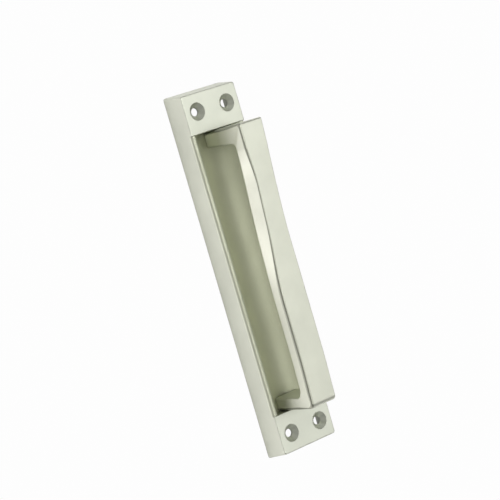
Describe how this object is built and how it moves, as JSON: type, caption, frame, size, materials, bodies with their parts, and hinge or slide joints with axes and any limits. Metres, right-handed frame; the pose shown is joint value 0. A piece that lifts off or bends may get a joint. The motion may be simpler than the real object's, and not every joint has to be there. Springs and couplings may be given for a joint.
{
  "type": "sash lift handle",
  "caption": "Sash lift handle: hollow rectangular backplate with countersunk holes and a scooped finger recess, and a raised D-shaped grip with a thumb scoop.",
  "frame": {"origin": "centre of the backplate's flat mounting face", "axes": "+Z out of the mounting face towards the hand, +Y along the handle towards its upper end, +X across it to the right as seen from the front"},
  "size_m": [0.035, 0.18, 0.033],
  "materials": {
    "plate": "satin nickel plate on a zinc casting",
    "grip": "satin nickel plate on a zinc casting",
    "screw": "bright zinc plated steel"
  },
  "bodies": {
    "root": {"backplate": "plate", "grip": "grip", "grip_screw_upper": "screw", "grip_screw_lower": "screw"}
  },
  "joints": []
}
